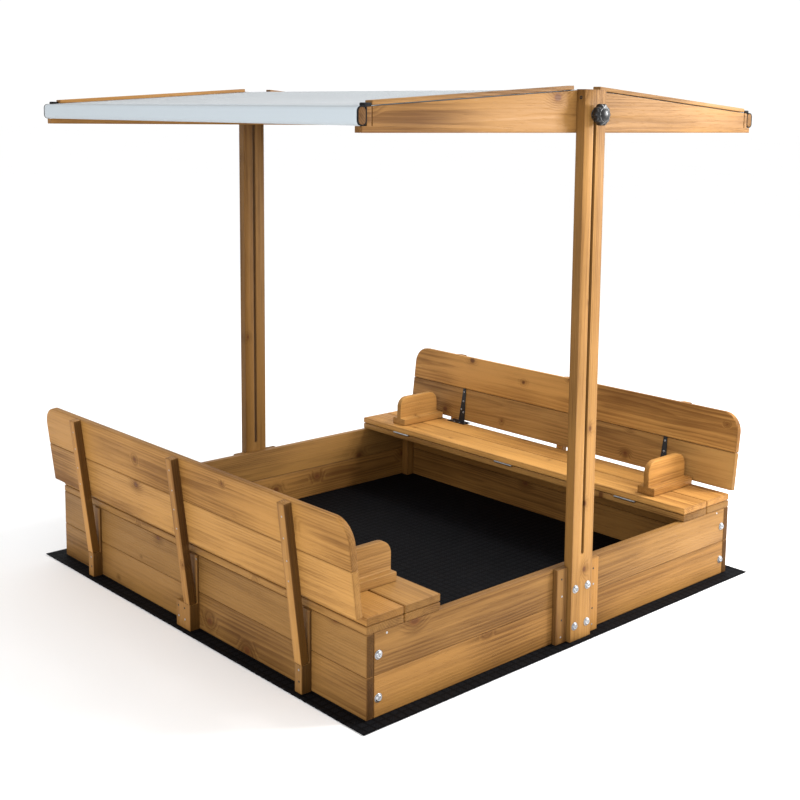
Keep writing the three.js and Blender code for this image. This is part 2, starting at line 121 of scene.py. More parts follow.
def mix_colours(tree, share, first, second, blend="MIX"):
    made = add_node(tree, "ShaderNodeMix", data_type="RGBA", blend_type=blend)
    for index, value in ((0, share), (6, first), (7, second)):
        if isinstance(value, bpy.types.NodeSocket):
            tree.links.new(value, made.inputs[index])
        else:
            made.inputs[index].default_value = value
    return made.outputs[2]


def new_material(name):
    material = bpy.data.materials.new(name)
    material.use_nodes = True
    tree = material.node_tree
    tree.nodes.clear()
    shader = add_node(tree, "ShaderNodeBsdfPrincipled")
    output = add_node(tree, "ShaderNodeOutputMaterial")
    tree.links.new(shader.outputs[0], output.inputs[0])
    return material, tree, shader


def add_bump(tree, shader, height, distance):
    inputs = {"Height": height, "Distance": distance, "Strength": 1.0}
    bump = add_node(tree, "ShaderNodeBump", inputs)
    tree.links.new(bump.outputs[0], shader.inputs["Normal"])


# ---------------------------------------------------------------- wood
WOOD_INPUTS = (
    ("Place", "NodeSocketVector"),
    ("Facing", "NodeSocketVector"),
    ("Half", "NodeSocketVector"),
    ("Pith", "NodeSocketVector"),
    ("Seed", "NodeSocketVector"),
    ("SideStainAndShade", "NodeSocketFloat"),
    ("End", "NodeSocketFloat"),
    ("Light", "NodeSocketColor"),
    ("Dark", "NodeSocketColor"),
)
WOOD_OUTPUTS = (
    ("Colour", "NodeSocketColor"),
    ("Roughness", "NodeSocketFloat"),
    ("Height", "NodeSocketFloat"),
)
RING_PITCH = 0.0047


# Knots are a few cells of a pattern that runs straight through the thickness. Gives each knot, its
# rim and the wide halo that bends the grain.
def knot_layers(group, moved, wobble):
    split = add_node(group, "ShaderNodeSeparateXYZ", {0: moved})
    inputs = {0: split.outputs[0], 1: split.outputs[2]}
    flat = add_node(group, "ShaderNodeCombineXYZ", inputs).outputs[0]
    flat = vector_maths(group, "MULTIPLY", flat, (1.0, 0.75, 1.0))
    inputs = {"Vector": flat, "Scale": 8.0}
    cells = add_node(group, "ShaderNodeTexVoronoi", inputs, voronoi_dimensions="2D")
    draws = add_node(group, "ShaderNodeSeparateColor", {0: cells.outputs["Color"]})
    kept = ramp_between(group, draws.outputs[0], 0.45, 0.455)
    radius = ramp_between(group, draws.outputs[1], 0.0, 1.0, 0.018, 0.06)
    reach = maths(group, "ADD", cells.outputs["Distance"], maths(group, "MULTIPLY", wobble, 0.025))
    reach = maths(group, "DIVIDE", reach, radius)
    layers = []
    for inner, outer in ((0.85, 1.35), (1.0, 1.9), (0.8, 5.0)):
        layers.append(maths(group, "MULTIPLY", kept, ramp_between(group, reach, inner, outer, 1.0, 0.0)))
    return layers


# Growth rings round the pith, bent by slow noise and by the knots; 1 in the dark late wood.
def growth_rings(group, place, pith, moved, halo):
    split = add_node(group, "ShaderNodeSeparateXYZ", {0: place})
    pith = add_node(group, "ShaderNodeSeparateXYZ", {0: pith})
    across = maths(group, "SUBTRACT", split.outputs[0], pith.outputs[0])
    deep = maths(group, "SUBTRACT", split.outputs[1], pith.outputs[1])
    squares = maths(group, "MULTIPLY_ADD", across, across, maths(group, "MULTIPLY", deep, deep))
    distance = maths(group, "SQRT", squares)
    slow = stretched_noise(group, moved, (7.0, 7.0, 1.3), 1.5)
    quick = stretched_noise(group, moved, (34.0, 34.0, 4.5), 2.0)
    for bend, amount in ((slow, 0.024), (quick, 0.0036), (halo, 0.011)):
        distance = maths(group, "ADD", distance, maths(group, "MULTIPLY", bend, amount))
    ring = maths(group, "FRACT", maths(group, "DIVIDE", distance, RING_PITCH))
    rise = ramp_between(group, ring, 0.15, 0.86)
    fall = ramp_between(group, ring, 0.87, 1.0, 1.0, 0.0)
    return maths(group, "MULTIPLY", rise, fall)


# End grain holds more stain. Some boards' narrow sides are darker too, partly stain and partly painted
# shade for sides that stand in shadow. Gives the colour and where the ends are.
def stain_and_side_shade(group, source, colour, late):
    facing = add_node(group, "ShaderNodeSeparateXYZ", {0: source.outputs["Facing"]})
    end = ramp_between(group, maths(group, "ABSOLUTE", facing.outputs[2]), 0.5, 0.85)
    end = maths(group, "MULTIPLY", end, source.outputs["End"])
    end_colour = mix_colours(group, 1.0, colour, (0.3, 0.25, 0.13, 1.0), "MULTIPLY")
    ring_share = maths(group, "MULTIPLY", late, 0.25)
    end_colour = mix_colours(group, ring_share, end_colour, (0.05, 0.022, 0.005, 1.0))
    colour = mix_colours(group, end, colour, end_colour)
    narrow = ramp_between(group, maths(group, "ABSOLUTE", facing.outputs[0]), 0.5, 0.85)
    # Painted shade, partly stain: the darker colour of the narrow sides.
    stained_and_shaded = mix_colours(group, 1.0, colour, (0.12, 0.09, 0.02, 1.0), "MULTIPLY")
    side_stain_and_shade = maths(group, "MULTIPLY", narrow, source.outputs["SideStainAndShade"])
    return mix_colours(group, side_stain_and_shade, colour, stained_and_shaded), end


# The board's rounded edges are a little darker.
def darken_edges(group, source, colour, wobble):
    outward = vector_maths(group, "ABSOLUTE", source.outputs["Place"])
    inset = vector_maths(group, "SUBTRACT", outward, source.outputs["Half"])
    inset = add_node(group, "ShaderNodeSeparateXYZ", {0: inset})
    low = maths(group, "MINIMUM", inset.outputs[0], inset.outputs[1])
    high = maths(group, "MAXIMUM", inset.outputs[0], inset.outputs[1])
    edge = maths(group, "MAXIMUM", low, maths(group, "MINIMUM", high, inset.outputs[2]))
    edge = ramp_between(group, maths(group, "MULTIPLY_ADD", wobble, 0.003, edge), -0.0035, 0.0015)
    share = maths(group, "MULTIPLY", edge, 0.35)
    return mix_colours(group, share, colour, (0.13, 0.055, 0.012, 1.0))


# The group works in a board's own axes: X across the broad face, Y through the thickness and Z along
# the grain.
def make_wood_group():
    group = bpy.data.node_groups.new("wood_grain", "ShaderNodeTree")
    for name, kind in WOOD_INPUTS:
        group.interface.new_socket(name, in_out="INPUT", socket_type=kind)
    for name, kind in WOOD_OUTPUTS:
        group.interface.new_socket(name, in_out="OUTPUT", socket_type=kind)
    source = add_node(group, "NodeGroupInput")
    place = source.outputs["Place"]
    moved = vector_maths(group, "ADD", place, source.outputs["Seed"])
    wobble = stretched_noise(group, moved, (90.0, 40.0, 70.0), 2.0)
    knot, knot_rim, halo = knot_layers(group, moved, wobble)
    late = growth_rings(group, place, source.outputs["Pith"], moved, halo)

    streak = stretched_noise(group, moved, (70.0, 70.0, 1.6), 3.0, 0.6)
    fibre = stretched_noise(group, moved, (420.0, 420.0, 9.0), 2.0, 0.6)
    broad = stretched_noise(group, moved, (5.0, 5.0, 2.2), 2.0)
    pores = ramp_between(group, stretched_noise(group, moved, (900.0, 900.0, 26.0), 1.0), 0.62, 0.75)
    ring_strength = ramp_between(group, broad, 0.3, 0.75, 0.07, 0.22)
    tone = maths(group, "MULTIPLY", late, ring_strength)
    for value, centre, weight in ((streak, 0.5, 0.68), (fibre, 0.5, 0.42), (broad, 0.42, 1.35)):
        tone = maths(group, "MULTIPLY_ADD", maths(group, "SUBTRACT", value, centre), weight, tone)
    tone = maths(group, "MULTIPLY_ADD", pores, 0.13, tone)
    tone = maths(group, "MULTIPLY_ADD", halo, 0.26, maths(group, "ADD", tone, 0.16))

    shade = ramp_between(group, tone, 0.0, 0.9)
    colour = mix_colours(group, shade, source.outputs["Light"], source.outputs["Dark"])
    knot_colour = mix_colours(group, 0.85, colour, (0.1, 0.033, 0.009, 1.0))
    rim_colour = mix_colours(group, 0.6, colour, (0.16, 0.055, 0.014, 1.0))
    colour = mix_colours(group, knot_rim, colour, rim_colour)
    colour = mix_colours(group, knot, colour, knot_colour)
    colour, end = stain_and_side_shade(group, source, colour, late)
    colour = darken_edges(group, source, colour, wobble)

    rough = maths(group, "MULTIPLY_ADD", tone, 0.16, 0.47)
    rough = maths(group, "MULTIPLY_ADD", end, 0.14, rough)
    rough = maths(group, "MULTIPLY_ADD", knot, -0.1, rough)
    height = maths(group, "MULTIPLY_ADD", fibre, 0.5, maths(group, "MULTIPLY", late, -0.35))
    height = maths(group, "MULTIPLY_ADD", pores, -0.5, height)
    height = maths(group, "MULTIPLY_ADD", streak, 0.5, height)
    add_node(group, "NodeGroupOutput", {"Colour": colour, "Roughness": rough, "Height": height})
    return group


WOOD_GROUP = make_wood_group()
WOOD_TONES = {
    "frame_wood": ((0.3, 0.149, 0.04), (0.1, 0.041, 0.009)),
    "seat_wood": ((0.4, 0.2, 0.053), (0.14, 0.058, 0.0125)),
    "canopy_wood": ((0.32, 0.161, 0.047), (0.112, 0.047, 0.011)),
}
# The first name that a board's own name contains gives its stains and its painted light; the others have
# even stains and no painted light. The last number is painted light: above 1 paints a board lit, below 1
# shaded.
WOOD_STAIN_AND_PAINTED_LIGHT = {
    "wall_cleat": (0.8, 0.3, 0.92),
    "post_cleat": (0.4, 0.3, 1.05),
    "batten": (0.88, 0.12, 1.5),
    "rear_post": (0.2, 0.2, 0.8),
    "post": (0.5, 0.2, 1.38),
    "wall_": (0.0, 1.0, 1.0),
    "right_back_lower": (0.0, 0.5, 1.05),
    "right_back": (0.0, 0.5, 1.38),
    "left_back_lower": (0.0, 0.5, 1.24),
    "right_seat": (0.0, 0.2, 1.58),
    "right_armrest": (0.0, 0.3, 1.25),
    "left_seat": (0.0, 0.6, 0.92),
    "beam": (0.0, 0.4, 1.0),
}


# low and high are the board's corners after it has been turned upright by -lean about Y.
# axes are the thin, the broad and the long one; without them, they go by the board's size.
def wood_material(name, slot, low, high, lean=0.0, stain_and_painted_light=EVEN_STAIN_NO_PAINTED_LIGHT, axes=None):
    rng = random.Random(name)
    side_stain_and_shade, end_stain, painted_light = stain_and_painted_light
    material, tree, shader = new_material(name)
    coordinates = add_node(tree, "ShaderNodeTexCoord")
    place = coordinates.outputs["Object"]
    facing = coordinates.outputs["Normal"]
    if lean:
        inputs = {"Vector": place, "Angle": -lean}
        place = add_node(tree, "ShaderNodeVectorRotate", inputs, rotation_type="Y_AXIS").outputs[0]
        inputs = {"Vector": facing, "Angle": -lean}
        facing = add_node(tree, "ShaderNodeVectorRotate", inputs, rotation_type="Y_AXIS").outputs[0]
    place = vector_maths(tree, "SUBTRACT", place, (low + high) / 2)
    half = (high - low) / 2
    thin, broad, long = axes or sorted(range(3), key=lambda axis: half[axis])

    def reordered(vector):
        split = add_node(tree, "ShaderNodeSeparateXYZ", {0: vector})
        inputs = {0: split.outputs[broad], 1: split.outputs[thin], 2: split.outputs[long]}
        return add_node(tree, "ShaderNodeCombineXYZ", inputs).outputs[0]

    grain = add_node(tree, "ShaderNodeGroup", node_tree=WOOD_GROUP)
    tree.links.new(reordered(place), grain.inputs["Place"])
    tree.links.new(reordered(facing), grain.inputs["Facing"])
    grain.inputs["Half"].default_value = (half[broad], half[thin], half[long])
    pith_across = rng.uniform(-0.05, 0.05)
    pith_depth = rng.choice((-1, 1)) * rng.uniform(0.02, 0.07)
    grain.inputs["Pith"].default_value = (pith_across, pith_depth, 0)
    grain.inputs["Seed"].default_value = [rng.uniform(-20, 20) for axis in range(3)]
    grain.inputs["SideStainAndShade"].default_value = side_stain_and_shade
    grain.inputs["End"].default_value = end_stain
    shader.inputs["Specular IOR Level"].default_value = 0.14
    light, dark = WOOD_TONES[slot]
    # Painted light: the board's brightness for how lit it stands, times a random tone.
    tone_and_painted_light = painted_light * rng.uniform(0.93, 1.07)
    red = rng.uniform(0.96, 1.04)
    tint_and_painted_light = (tone_and_painted_light * red, tone_and_painted_light, tone_and_painted_light / red ** 2)
    for socket, tone in (("Light", light), ("Dark", dark)):
        grain.inputs[socket].default_value = (*(c * t for c, t in zip(tone, tint_and_painted_light)), 1.0)
    tree.links.new(grain.outputs["Colour"], shader.inputs["Base Color"])
    tree.links.new(grain.outputs["Roughness"], shader.inputs["Roughness"])
    add_bump(tree, shader, grain.outputs["Height"], 0.0005)
    return material


# ---------------------------------------------------------------- other materials
def object_place(tree):
    return add_node(tree, "ShaderNodeTexCoord").outputs["Object"]


# rough is the lowest and the highest roughness, and grain the fine noise's scale.
def plain_material(name, colours, rough, grain, bump, **settings):
    material, tree, shader = new_material(name)
    place = object_place(tree)
    slow = stretched_noise(tree, place, (22.0, 22.0, 22.0), 3.0)
    fine = stretched_noise(tree, place, (grain, grain, grain), 3.0, 0.6)
    marks = stretched_noise(tree, place, (1500.0, 90.0, 700.0), 2.0)
    share = maths(tree, "ADD", maths(tree, "MULTIPLY", slow, 0.6), maths(tree, "MULTIPLY", fine, 0.4))
    first, second = ((*colour, 1.0) for colour in colours)
    mixed_colours = mix_colours(tree, ramp_between(tree, share, 0.35, 0.65), first, second)
    tree.links.new(mixed_colours, shader.inputs["Base Color"])
    mixed = maths(tree, "ADD", maths(tree, "MULTIPLY", fine, 0.7), maths(tree, "MULTIPLY", marks, 0.3))
    tree.links.new(ramp_between(tree, mixed, 0.3, 0.7, *rough), shader.inputs["Roughness"])
    shader.inputs["Metallic"].default_value = settings.get("metallic", 0.0)
    shader.inputs["Specular IOR Level"].default_value = settings.get("specular", 0.5)
    shader.inputs["Coat Weight"].default_value = settings.get("coat", 0.0)
    shader.inputs["Coat Roughness"].default_value = 0.12
    add_bump(tree, shader, mixed, bump)
    return material


# Threads over and under each other, pitch metres apart, from 0 in the gaps to 1 on top of a thread.
def weave_height(tree, first, second, pitch):
    turns = math.pi / pitch
    warp = maths(tree, "SINE", maths(tree, "MULTIPLY", first, turns))
    weft = maths(tree, "SINE", maths(tree, "MULTIPLY", second, turns))
    over = maths(tree, "MULTIPLY", warp, weft)
    under = maths(tree, "MULTIPLY_ADD", over, 0.5, 0.5)
    both = maths(tree, "ADD", maths(tree, "ABSOLUTE", warp), maths(tree, "ABSOLUTE", weft))
    return maths(tree, "MULTIPLY_ADD", both, 0.25, maths(tree, "MULTIPLY", under, 0.5))


def cover_material():
    material, tree, shader = new_material("cover_cloth")
    place = object_place(tree)
    split = add_node(tree, "ShaderNodeSeparateXYZ", {0: place})
    round_bar = maths(tree, "ADD", split.outputs[0], split.outputs[2])
    weave = weave_height(tree, round_bar, split.outputs[1], 0.0011)
    slow = stretched_noise(tree, place, (4.0, 3.0, 9.0), 3.0)
    thread = stretched_noise(tree, place, (60.0, 900.0, 60.0), 2.0)
    share = maths(tree, "MULTIPLY_ADD", thread, 0.35, maths(tree, "MULTIPLY", slow, 0.65))
    deep = (0.35, 0.4, 0.44, 1.0)
    cloudy = ramp_between(tree, share, 0.3, 0.7)
    colour = mix_colours(tree, cloudy, (0.38, 0.43, 0.465, 1.0), (0.45, 0.495, 0.525, 1.0))
    colour = mix_colours(tree, maths(tree, "MULTIPLY", weave, 0.16), deep, colour)
    threads = mix_colours(tree, weave, deep, (0.43, 0.475, 0.505, 1.0))
    colour = mix_colours(tree, 0.82, colour, threads)
    # The single layer on top lets more light through than the doubled sleeves.
    facing = add_node(tree, "ShaderNodeTexCoord").outputs["Normal"]
    facing = add_node(tree, "ShaderNodeSeparateXYZ", {0: facing})
    upward = ramp_between(tree, facing.outputs[2], 0.7, 0.97)
    thin = mix_colours(tree, 1.0, colour, (0.56, 0.56, 0.56, 1.0), "MULTIPLY")
    tree.links.new(mix_colours(tree, upward, colour, thin), shader.inputs["Base Color"])
    tree.links.new(ramp_between(tree, share, 0.3, 0.7, 0.66, 0.8), shader.inputs["Roughness"])
    shader.inputs["Sheen Weight"].default_value = 0.25
    shader.inputs["Sheen Roughness"].default_value = 0.4
    add_bump(tree, shader, maths(tree, "MULTIPLY_ADD", slow, 0.6, weave), 0.00025)
    return material


def liner_material():
    material, tree, shader = new_material("liner_cloth")
    place = object_place(tree)
    split = add_node(tree, "ShaderNodeSeparateXYZ", {0: place})
    weave = weave_height(tree, split.outputs[0], split.outputs[1], 0.0034)
    slow = stretched_noise(tree, place, (14.0, 14.0, 14.0), 3.0)
    grit = stretched_noise(tree, place, (700.0, 700.0, 700.0), 2.0)
    share = maths(tree, "MULTIPLY_ADD", grit, 0.4, maths(tree, "MULTIPLY", weave, 0.6))
    ribs = []
    for axis in (0, 1):
        turns = maths(tree, "MULTIPLY", split.outputs[axis], 2 * math.pi / RIB_PITCH)
        wave = maths(tree, "COSINE", turns)
        ribs.append(ramp_between(tree, wave, 0.5, 0.9, 1.0, 0.0))
    rib = maths(tree, "MULTIPLY", *ribs)
    share = maths(tree, "MULTIPLY", share, maths(tree, "MULTIPLY_ADD", rib, 0.5, 0.5))
    raised = ramp_between(tree, share, 0.15, 0.8)
    colour = mix_colours(tree, raised, (0.0006, 0.0006, 0.0009, 1.0), (0.0062, 0.0064, 0.008, 1.0))
    dusty = mix_colours(tree, 0.25, colour, (0.01, 0.0095, 0.009, 1.0))
    colour = mix_colours(tree, ramp_between(tree, slow, 0.5, 0.75, 0.0, 0.6), colour, dusty)
    tree.links.new(colour, shader.inputs["Base Color"])
    tree.links.new(ramp_between(tree, grit, 0.3, 0.7, 0.6, 0.85), shader.inputs["Roughness"])
    shader.inputs["Specular IOR Level"].default_value = 0.06
    add_bump(tree, shader, share, 0.0012)
    return material


def floor_material():
    material, tree, shader = new_material("floor")
    place = object_place(tree)
    slow = stretched_noise(tree, place, (0.6, 0.6, 0.6), 3.0)
    fine = stretched_noise(tree, place, (40.0, 40.0, 40.0), 3.0)
    cloudy = ramp_between(tree, slow, 0.3, 0.7)
    colour = mix_colours(tree, cloudy, (0.96, 0.96, 0.96, 1.0), (0.97, 0.97, 0.97, 1.0))
    tree.links.new(colour, shader.inputs["Base Color"])
    tree.links.new(ramp_between(tree, fine, 0.3, 0.7, 0.8, 0.95), shader.inputs["Roughness"])
    shader.inputs["Specular IOR Level"].default_value = 0.1
    return material


MATERIALS = {
    "cover_cloth": cover_material(),
    "liner_cloth": liner_material(),
    "binding": plain_material(
        "binding",
        ((0.004, 0.004, 0.0045), (0.01, 0.01, 0.011)),
        (0.6, 0.8),
        1500.0,
        0.0003,
        specular=0.12,
    ),
    "thread": plain_material(
        "thread", ((0.42, 0.48, 0.52), (0.5, 0.56, 0.6)), (0.6, 0.8), 2500.0, 0.0001
    ),
    "black_steel": plain_material(
        "black_steel",
        ((0.006, 0.006, 0.0065), (0.012, 0.012, 0.012)),
        (0.38, 0.52),
        700.0,
        0.0002,
        coat=0.1,
        specular=0.22,
    ),
    "zinc_steel": plain_material(
        "zinc_steel", ((0.46, 0.47, 0.48), (0.3, 0.31, 0.33)), (0.26, 0.46), 500.0, 0.0001, metallic=1.0
    ),
    "black_plastic": plain_material(
        "black_plastic",
        ((0.005, 0.005, 0.0055), (0.009, 0.009, 0.0095)),
        (0.3, 0.42),
        1100.0,
        0.00012,
        coat=0.12,
        specular=0.3,
    ),
}


# ---------------------------------------------------------------- pieces
# Makes one piece from a bmesh, riding on a body, with its slot's material unless another is given.
def piece_from(name, body, slot, work, material=None):
    bmesh.ops.recalc_face_normals(work, faces=work.faces)
    mesh = bpy.data.meshes.new(name)
    work.to_mesh(mesh)
    work.free()
    piece = bpy.data.objects.new(name, mesh)
    bpy.context.collection.objects.link(piece)
    mesh.materials.append(material or MATERIALS[slot])
    for polygon in mesh.polygons:
        polygon.use_smooth = True
    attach(piece, body)
    return piece


def keep_edges_sharp(piece, degrees=35):
    split = piece.modifiers.new("split", "EDGE_SPLIT")
    split.split_angle = math.radians(degrees)


# Gives a surface of one layer its thickness, half of it to each side.
def thicken(piece, thickness):
    solid = piece.modifiers.new("thickness", "SOLIDIFY")
    solid.thickness = thickness
    solid.offset = 0.0


# Adds rings of points joined by quads; a ring of one point closes the surface.
def loft(work, rings):
    made = [[work.verts.new(point) for point in ring] for ring in rings]
    for first, second in zip(made, made[1:]):
        count = max(len(first), len(second))
        for i in range(count):
            j = (i + 1) % count
            if len(first) == 1:
                work.faces.new((first[0], second[i], second[j]))
            elif len(second) == 1:
                work.faces.new((first[i], second[0], first[j]))
            else:
                work.faces.new((first[i], second[i], second[j], first[j]))


# Turns a profile of (radius, height) points about a direction. radius_at(angle, index) can scale a
# ring's radius, and height_at(angle, radius, height) can change its height.
def revolve(work, origin, direction, profile, segments, radius_at=None, height_at=None):
    axis = Vector(direction).normalized()
    turn = axis.to_track_quat("Z", "Y").to_matrix()
    rings = []
    for index, (radius, height) in enumerate(profile):
        if radius == 0:
            rings.append([Vector(origin) + axis * height])
            continue
        ring = []
        for i in range(segments):
            angle = 2 * math.pi * i / segments
            reach = radius_at(angle, index) * radius if radius_at else radius
            lift = height_at(angle, radius, height) if height_at else height
            place = Vector((reach * math.cos(angle), reach * math.sin(angle), lift))
            ring.append(Vector(origin) + turn @ place)
        rings.append(ring)
    loft(work, rings)


# A box between two corners, with rounded edges.
def rounded_box(work, low, high, radius, segments):
    low = Vector(low)
    high = Vector(high)
    part = bmesh.new()
    bmesh.ops.create_cube(part, size=1.0)
    for vertex in part.verts:
        vertex.co = Vector(low[i] + (vertex.co[i] + 0.5) * (high[i] - low[i]) for i in range(3))
    bmesh.ops.bevel(
        part, geom=part.edges[:], offset=radius, segments=segments, profile=0.5, affect="EDGES"
    )
    copy = {vertex: work.verts.new(vertex.co) for vertex in part.verts}
    for face in part.faces:
        work.faces.new([copy[vertex] for vertex in face.verts])
    part.free()


# A wooden bar that the CAD leaves out.
def add_bar(name, body, slot, low, high):
    work = bmesh.new()
    rounded_box(work, low, high, 0.0016, 3)
    bar = piece_from(name, body, slot, work, wood_material(f"wood_{name}", slot, low, high))
    keep_edges_sharp(bar, 50)


# ---------------------------------------------------------------- carried-over CAD nodes
def make_smooth_group():
    group = bpy.data.node_groups.new("shade_smooth", "GeometryNodeTree")
    group.interface.new_socket("Geometry", in_out="INPUT", socket_type="NodeSocketGeometry")
    group.interface.new_socket("Geometry", in_out="OUTPUT", socket_type="NodeSocketGeometry")
    source = add_node(group, "NodeGroupInput")
    smooth = add_node(group, "GeometryNodeSetShadeSmooth", {0: source.outputs[0]})
    add_node(group, "NodeGroupOutput", {0: smooth.outputs[0]})
    return group


SMOOTH_GROUP = make_smooth_group()


# The CAD's triangles are joined into flat faces first, so that the bevel runs along clean edges.
def round_edges(node, width, segments=3, degrees=30):
    weld = node.modifiers.new("weld", "WELD")
    weld.merge_threshold = 0.00001
    smooth = node.modifiers.new("smooth", "NODES")
    smooth.node_group = SMOOTH_GROUP
    flat = node.modifiers.new("flat", "DECIMATE")
    flat.decimate_type = "DISSOLVE"
    flat.angle_limit = math.radians(1)
    bevel = node.modifiers.new("round", "BEVEL")
    bevel.width = width
    bevel.segments = segments
    bevel.limit_method = "ANGLE"
    bevel.angle_limit = math.radians(degrees)
    bevel.harden_normals = True


def finish_wood_nodes():
    widths = {"strip": 0.0012, "batten": 0.0014, "cleat": 0.0014, "end_bar": 0.001, "beam": 0.0016}
    for name, slot in SLOT_OF.items():
        if slot not in WOOD_TONES:
            continue
        node = NODES[name]
        side = -1 if name.startswith("left") else 1
        lean = side * LEAN if "_back_" in name or "batten" in name else 0.0
        upright = Matrix.Rotation(-lean, 3, "Y")
        points = [upright @ vertex.co for vertex in node.data.vertices]
        low = Vector(min(point[axis] for point in points) for axis in range(3))
        high = Vector(max(point[axis] for point in points) for axis in range(3))
        stain_and_painted_light = next((value for key, value in WOOD_STAIN_AND_PAINTED_LIGHT.items() if key in name), EVEN_STAIN_NO_PAINTED_LIGHT)
        axes = (0, 1, 2) if "wall_cleat" in name else None
        material = wood_material(f"wood_{name}", slot, low, high, lean, stain_and_painted_light, axes)
        node.data.materials.clear()
        node.data.materials.append(material)
        width = next((value for key, value in widths.items() if key in name), 0.0022)
        round_edges(node, width)


def finish_metal_nodes():
    for name, slot in SLOT_OF.items():
        if slot not in ("black_steel", "zinc_steel"):
            continue
        node = NODES[name]
        node.data.materials.clear()
        node.data.materials.append(MATERIALS[slot])
        round_edges(node, 0.0004, 2, 50)


# ---------------------------------------------------------------- fasteners
# A domed head with a cross cut into it, standing on a surface.
def screw_head(work, origin, direction, radius, rise, turn=0.0):
    depth = rise * 1.1
    arm = radius * 0.62
    blade = radius * 0.17

    def cut(angle, ring_radius, height):
        x = ring_radius * math.cos(angle + turn)
        y = ring_radius * math.sin(angle + turn)
        inside = (abs(x) < blade and abs(y) < arm) or (abs(y) < blade and abs(x) < arm)
        return height - depth if inside else height

    steps = [(0.1, 1.0), (0.2, 0.99), (0.36, 0.96), (0.52, 0.88), (0.66, 0.78), (0.84, 0.52), (1.0, 0.0)]
    dome = [(radius * share, rise * lift) for share, lift in steps]
    profile = [(0, rise - depth), *dome, (radius, -0.0004), (0, -0.0004)]
    revolve(work, origin, direction, profile, 32, height_at=cut)


# A round head with a six-sided socket, on a thin washer.
def wall_bolt(work, origin, direction):
    washer = [(0, 0), (0.0092, 0), (0.0092, 0.0008), (0.0086, 0.0011), (0, 0.0011)]
    revolve(work, origin, direction, washer, 32)
    socket = [(0, 0.0016), (0.0026, 0.0016), (0.003, 0.0044), (0.0034, 0.0048)]
    dome = [(0.0048, 0.0047), (0.0062, 0.0040), (0.0072, 0.0026), (0.0075, 0.0011), (0, 0.0011)]

    def six_sided(angle, index):
        if index > 2:
            return 1.0
        turn = (angle + math.pi / 6) % (math.pi / 3) - math.pi / 6
        return 0.9 / math.cos(turn)

    revolve(work, origin, direction, socket + dome, 36, radius_at=six_sided)


def nail_head(work, origin, direction, radius=0.0024):
    dome = [(radius * 0.6, 0.00045), (radius * 0.92, 0.0003)]
    profile = [(0, 0.0004), *dome, (radius, -0.0002), (0, -0.0004)]
    revolve(work, origin, direction, profile, 14)


# A point on a leaning batten's outer face: along the bench and at a height.
def on_batten(name, side, along, height):
    low, high = node_box(f"{name}_batten_middle")
    reach = max(abs(low.x), abs(high.x))
    x = reach - (high.z - height) * math.tan(LEAN)
    return Vector((side * (x - 0.0001), along, height))


# X and Z of the heads on the post walls' outer faces and on the posts.
WALL_BOLTS = [(x, z) for x in (-0.566, 0.566) for z in (0.0405, 0.127)]
POST_BOLTS = [(x, z) for x in (-0.0205, 0.0205) for z in (0.036, 0.121)]
WALL_NAILS = [(x, 0.165) for x in (-0.545058, 0.545058)]
# The nails in the outside cleats' ledges: Y and Z, by the cleat's place along the bench.
END_LEDGE_NAILS = ((-0.002, 0.051), (-0.003, 0.027))
LEDGE_NAILS = {
    0.0: ((0.018, 0.026), (0.019, 0.05), (-0.007, 0.024), (-0.006, 0.05)),
    -0.424: END_LEDGE_NAILS,
    0.424: END_LEDGE_NAILS,
}
RECESS_NAILS = ((0.019, 0.078), (-0.0255, 0.164))  # Y and Z, above the middle cleat's ledge
RECESS_X = 0.6005  # the middle cleat's face above its ledge


def add_wall_fasteners(rng):
    bolts = bmesh.new()
    nails = bmesh.new()
    dark_nails = bmesh.new()
    wall_y = -node_box("front_wall_lower")[0].y
    post_y = -node_box("front_post")[0].y
    cleat_y = -node_box("front_post_cleat_right")[0].y
    for end in ENDS.values():
        out = (0, end, 0)
        for places, face_y in ((WALL_BOLTS, wall_y), (POST_BOLTS, post_y)):
            for x, z in places:
                wall_bolt(bolts, (x, end * face_y, z), out)
        for x, z in WALL_NAILS:
            nail_head(nails, (x, end * wall_y, z), out)
        for x in (-0.053, 0.053):
            for index, z in enumerate((0.018, 0.057, 0.11, 0.149)):
                nail_x = x + rng.uniform(-0.002, 0.002)
                nail_z = z + rng.uniform(-0.002, 0.002)
                work = dark_nails if index % 2 else nails
                nail_head(work, (nail_x, end * cleat_y, nail_z), out)
    ledge_x = node_box("right_wall_cleat_middle")[1].x
    for side in SIDES.values():
        out = (side, 0, 0)
        for along, places in LEDGE_NAILS.items():
            for index, (y, z) in enumerate(places):
                work = dark_nails if index % 2 else nails
                nail_head(work, (side * ledge_x, along + y, z), out)
        for y, z in RECESS_NAILS:
            nail_head(nails, (side * RECESS_X, y, z), out)
    piece_from("wall_bolts", "root", "zinc_steel", bolts)
    piece_from("cleat_nails", "root", "zinc_steel", nails)
    piece_from("dark_cleat_nails", "root", "black_steel", dark_nails)


def add_batten_screws(rng):
    for name, side in SIDES.items():
        screws = bmesh.new()
        out = (side * math.cos(LEAN), 0, -math.sin(LEAN))
        for place in ("front", "middle", "rear"):
            batten = node_box(f"{name}_batten_{place}")
            middle = (batten[0].y + batten[1].y) / 2
            for height in (0.242, 0.284, 0.329, 0.373):
                along = middle + rng.uniform(-0.002, 0.002)
                spot = on_batten(name, side, along, height + rng.uniform(-0.003, 0.003))
                nail_head(screws, spot, out, 0.0026)
        piece_from(f"{name}_batten_screws", f"{name}_backrest", "zinc_steel", screws)


# ---------------------------------------------------------------- hinges
# A knuckle along Y, with a small chamfer at each end.
def add_knuckle(work, origin, length, radius, segments):
    chamfer = 0.0004
    rim = radius - chamfer
    stop = length - chamfer
    profile = [(0, 0), (rim, 0), (radius, chamfer), (radius, stop), (rim, length), (0, length)]
    revolve(work, origin, (0, 1, 0), profile, segments)


